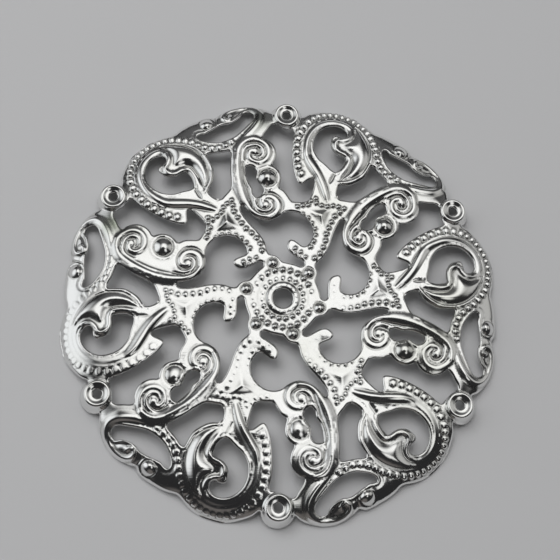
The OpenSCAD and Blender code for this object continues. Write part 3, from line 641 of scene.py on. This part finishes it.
# how deep each point lies between its neighbours, where painted shade greys the plate
around = np.mean([fall(top + off) + relief(top + off) for off in ring(0.33, 6)], axis=0)
own = fall(top) + relief(top)
depth = mesh.attributes.new("painted_hollow_shade", "FLOAT", "POINT")
spots = np.zeros(len(xyz))
for x, y, rad, strength in TARNISH:
    spots = np.maximum(spots, strength * bell(np.hypot(xyz[:, 0] * 1000 - x, xyz[:, 1] * 1000 - y) / rad))
mesh.attributes.new("tarnish", "FLOAT", "POINT").data.foreach_set("value", spots)
# painted shade: points lying deeper than their neighbours get a darker plate colour, and the underside gets a fixed
# half share of it
depth.data.foreach_set("value", np.concatenate([np.clip((around - own) / 0.09, 0, 1), np.full(len(low), 0.5)]))
stamping = bpy.data.objects.new("filigree_sheet", mesh)
bpy.context.scene.collection.objects.link(stamping)
print("triangles", len(top_f), len(low_f), 2 * len(walls), "heights", xyz[:, 2].min() * 1000, xyz[:, 2].max() * 1000)

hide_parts("filigree_stamping")
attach(stamping, "root")


# ------------------------------------------------------------------ materials
def nodes_of(name):
    m = bpy.data.materials.new(name)
    m.use_nodes = True
    nt = m.node_tree
    return m, nt, nt.nodes["Principled BSDF"]


def plate():
    """Bright plate: a little cloudy, worn smooth on the high spots, darkened by painted shade where it lies deep,
    finely scratched.
    """
    m, nt, bsdf = nodes_of("bright_plate")
    N, L = nt.nodes, nt.links
    bsdf.inputs["Metallic"].default_value = 1.0
    where = N.new("ShaderNodeTexCoord")

    def noise(scale, detail, low, high):
        n = N.new("ShaderNodeTexNoise")
        n.inputs["Scale"].default_value = scale
        n.inputs["Detail"].default_value = detail
        L.new(where.outputs["Object"], n.inputs["Vector"])
        r = N.new("ShaderNodeMapRange")
        r.inputs["From Min"].default_value = low
        r.inputs["From Max"].default_value = high
        L.new(n.outputs["Fac"], r.inputs["Value"])
        return r.outputs["Result"]

    def mixed(share, a, b):
        x = N.new("ShaderNodeMix")
        x.data_type = "RGBA"
        L.new(share, x.inputs["Factor"])
        for value, socket in ((a, x.inputs["A"]), (b, x.inputs["B"])):
            if isinstance(value, tuple):
                socket.default_value = (*value, 1)
            else:
                L.new(value, socket)
        return x.outputs["Result"]

    def joined(operation, a, b):
        x = N.new("ShaderNodeMath")
        x.operation = operation
        x.use_clamp = True
        for value, socket in ((a, x.inputs[0]), (b, x.inputs[1])):
            if isinstance(value, float):
                socket.default_value = value
            else:
                L.new(value, socket)
        return x.outputs["Value"]

    painted_hollow_shade = N.new("ShaderNodeAttribute")
    painted_hollow_shade.attribute_name = "painted_hollow_shade"
    deep = painted_hollow_shade.outputs["Fac"]
    cloudy = noise(120, 3, 0.35, 0.65)
    stains = noise(65, 5, 0.56, 0.72)
    colour = mixed(cloudy, (0.845, 0.845, 0.83), (0.90, 0.90, 0.895))
    colour = mixed(joined("MULTIPLY", stains, 0.5), colour, (0.70, 0.71, 0.63))
    tarnish = N.new("ShaderNodeAttribute")
    tarnish.attribute_name = "tarnish"
    patchy = joined("MULTIPLY", tarnish.outputs["Fac"], noise(240, 3, 0.3, 0.6))
    colour = mixed(patchy, colour, (0.50, 0.56, 0.44))
    # painted shade: the plate colour is mixed toward dark grey where it lies deep between its neighbours
    colour = mixed(joined("MULTIPLY", deep, 0.85), colour, (0.42, 0.42, 0.40))
    L.new(colour, bsdf.inputs["Base Color"])
    rough = N.new("ShaderNodeMapRange")
    rough.inputs["To Min"].default_value = 0.09
    rough.inputs["To Max"].default_value = 0.32
    L.new(joined("ADD", joined("MULTIPLY", cloudy, 0.25), joined("MULTIPLY", deep, 0.7)), rough.inputs["Value"])
    L.new(rough.outputs["Result"], bsdf.inputs["Roughness"])
    # fine scratches and the slight orange skin of pressed sheet
    stretch = N.new("ShaderNodeMapping")
    stretch.inputs["Scale"].default_value = (1, 14, 1)
    stretch.inputs["Rotation"].default_value = (0, 0, 0.6)
    L.new(where.outputs["Object"], stretch.inputs["Vector"])
    scratch = N.new("ShaderNodeTexNoise")
    scratch.inputs["Scale"].default_value = 420
    scratch.inputs["Detail"].default_value = 2
    L.new(stretch.outputs["Vector"], scratch.inputs["Vector"])
    skin = N.new("ShaderNodeTexNoise")
    skin.inputs["Scale"].default_value = 700
    skin.inputs["Detail"].default_value = 2
    L.new(where.outputs["Object"], skin.inputs["Vector"])
    both = N.new("ShaderNodeMath")
    both.operation = "ADD"
    L.new(scratch.outputs["Fac"], both.inputs[0])
    L.new(skin.outputs["Fac"], both.inputs[1])
    bump = N.new("ShaderNodeBump")
    bump.inputs["Strength"].default_value = 0.5
    bump.inputs["Distance"].default_value = 0.000012
    L.new(both.outputs["Value"], bump.inputs["Height"])
    L.new(bump.outputs["Normal"], bsdf.inputs["Normal"])
    return m


stamping.data.materials.append(plate())


def pale(name, colour):
    m, nt, bsdf = nodes_of(name)
    N, L = nt.nodes, nt.links
    where = N.new("ShaderNodeTexCoord")
    grain = N.new("ShaderNodeTexNoise")
    grain.inputs["Scale"].default_value = 900
    grain.inputs["Detail"].default_value = 3
    L.new(where.outputs["Object"], grain.inputs["Vector"])
    bump = N.new("ShaderNodeBump")
    bump.inputs["Strength"].default_value = 0.05
    bump.inputs["Distance"].default_value = 0.0002
    L.new(grain.outputs["Fac"], bump.inputs["Height"])
    L.new(bump.outputs["Normal"], bsdf.inputs["Normal"])
    bsdf.inputs["Base Color"].default_value = (*colour, 1)
    bsdf.inputs["Roughness"].default_value = 0.8
    return m


bpy.ops.mesh.primitive_plane_add(size=3.0, location=(0, 0, 0))
floor = bpy.context.active_object
floor.name = "floor"
floor.data.materials.append(pale("floor_pale", (0.62, 0.62, 0.63)))

# ------------------------------------------------------------------ light
# ---- soft lights all round: bearing, elevation, half angle where it is full, half angle where it ends, radiance, tint;
# ---- the first one has a dark round place in it: bearing, elevation, half angle where it is dark, half angle where it ends ----
GLOWS = [
    (78, 74, 13, 38, 1.03, (1.0, 1.0, 0.985)),
    (90, 35, 10, 40, 0.08, (1.0, 1.0, 1.0)),
    (170, 26, 14, 38, 0.92, (0.97, 0.99, 1.0)),
    (18, 30, 8, 29, 0.45, (1.0, 0.995, 0.97)),
    (264, 14, 8, 34, 0.115, (1.0, 0.91, 0.86)),
    (312, 62, 5, 12, 0.85, (1.0, 1.0, 0.985)),
]
SHADE = (256, 75.5, 17.5, 20.0)
world = bpy.data.worlds.new("studio")
bpy.context.scene.world = world
world.use_nodes = True
wn, wl = world.node_tree.nodes, world.node_tree.links
look = wn.new("ShaderNodeTexCoord")
total = None
for bearing, elevation, full, end, radiance, tint in GLOWS:
    b, e = math.radians(bearing), math.radians(elevation)
    near = wn.new("ShaderNodeVectorMath")
    near.operation = "DOT_PRODUCT"
    wl.new(look.outputs["Generated"], near.inputs[0])
    near.inputs[1].default_value = (math.cos(e) * math.cos(b), math.cos(e) * math.sin(b), math.sin(e))
    share = wn.new("ShaderNodeMapRange")
    share.interpolation_type = "SMOOTHSTEP"
    share.inputs["From Min"].default_value = math.cos(math.radians(end))
    share.inputs["From Max"].default_value = math.cos(math.radians(full))
    share.inputs["To Max"].default_value = radiance
    wl.new(near.outputs["Value"], share.inputs["Value"])
    glow = wn.new("ShaderNodeVectorMath")
    glow.operation = "SCALE"
    glow.inputs[0].default_value = tint
    if total is None:
        b, e = math.radians(SHADE[0]), math.radians(SHADE[1])
        past = wn.new("ShaderNodeVectorMath")
        past.operation = "DOT_PRODUCT"
        wl.new(look.outputs["Generated"], past.inputs[0])
        past.inputs[1].default_value = (math.cos(e) * math.cos(b), math.cos(e) * math.sin(b), math.sin(e))
        edge = wn.new("ShaderNodeMapRange")
        edge.interpolation_type = "SMOOTHSTEP"
        edge.inputs["From Min"].default_value = math.cos(math.radians(SHADE[2]))
        edge.inputs["From Max"].default_value = math.cos(math.radians(SHADE[3]))
        wl.new(past.outputs["Value"], edge.inputs["Value"])
        cut = wn.new("ShaderNodeMath")
        cut.operation = "MULTIPLY"
        wl.new(share.outputs["Result"], cut.inputs[0])
        wl.new(edge.outputs["Result"], cut.inputs[1])
        wl.new(cut.outputs["Value"], glow.inputs["Scale"])
    else:
        wl.new(share.outputs["Result"], glow.inputs["Scale"])
    add = wn.new("ShaderNodeVectorMath")
    add.operation = "ADD"
    wl.new(glow.outputs["Vector"], add.inputs[0])
    if total is None:
        add.inputs[1].default_value = (0.022, 0.022, 0.023)
    else:
        wl.new(total.outputs["Vector"], add.inputs[1])
    total = add
wl.new(total.outputs["Vector"], wn["Background"].inputs["Color"])
wn["Background"].inputs["Strength"].default_value = 1.0


def softbox(name, bearing, elevation, distance, width, height, power):
    """A rectangular lamp that faces the middle of the object; it lights the floor and isn't mirrored in the metal."""
    data = bpy.data.lights.new(name, "AREA")
    data.shape = "RECTANGLE"
    data.size, data.size_y, data.energy = width, height, power
    lamp = bpy.data.objects.new(name, data)
    b, e = math.radians(bearing), math.radians(elevation)
    out = Vector((math.cos(e) * math.cos(b), math.cos(e) * math.sin(b), math.sin(e)))
    lamp.location = out * distance
    lamp.rotation_mode = "QUATERNION"
    lamp.rotation_quaternion = out.to_track_quat("Z", "Y")
    lamp.visible_glossy = False
    bpy.context.scene.collection.objects.link(lamp)
    return lamp


softbox("floor_light", 130, 62, 0.6, 0.4, 0.4, 1.5)
bpy.context.scene.view_settings.view_transform = "Standard"

# ------------------------------------------------------------------ camera at the photograph's angle
ELEVATION, BEARING, DISTANCE, ROLL = 72.59, -100.22, 132.5, 11.98
AIM = Vector((-0.488, 2.760, 3.1))
FOCAL_PX, WIDE_PX = 892.9, 560.0
e, b, r = math.radians(ELEVATION), math.radians(BEARING), math.radians(ROLL)
back = Vector((math.cos(e) * math.cos(b), math.cos(e) * math.sin(b), math.sin(e)))
right = Vector((-math.sin(b), math.cos(b), 0))
up = back.cross(right)
right, up = right * math.cos(r) + up * math.sin(r), up * math.cos(r) - right * math.sin(r)
cam = bpy.data.cameras.new("camera")
cam.sensor_fit = "HORIZONTAL"
cam.sensor_width = 36.0
cam.lens = FOCAL_PX / WIDE_PX * 36.0
cam.clip_start, cam.clip_end = 0.005, 10
camera = bpy.data.objects.new("camera", cam)
place = Matrix((right, up, back)).transposed().to_4x4()
place.translation = (AIM + back * DISTANCE) / 1000.0
camera.matrix_world = place
bpy.context.scene.collection.objects.link(camera)
bpy.context.scene.camera = camera
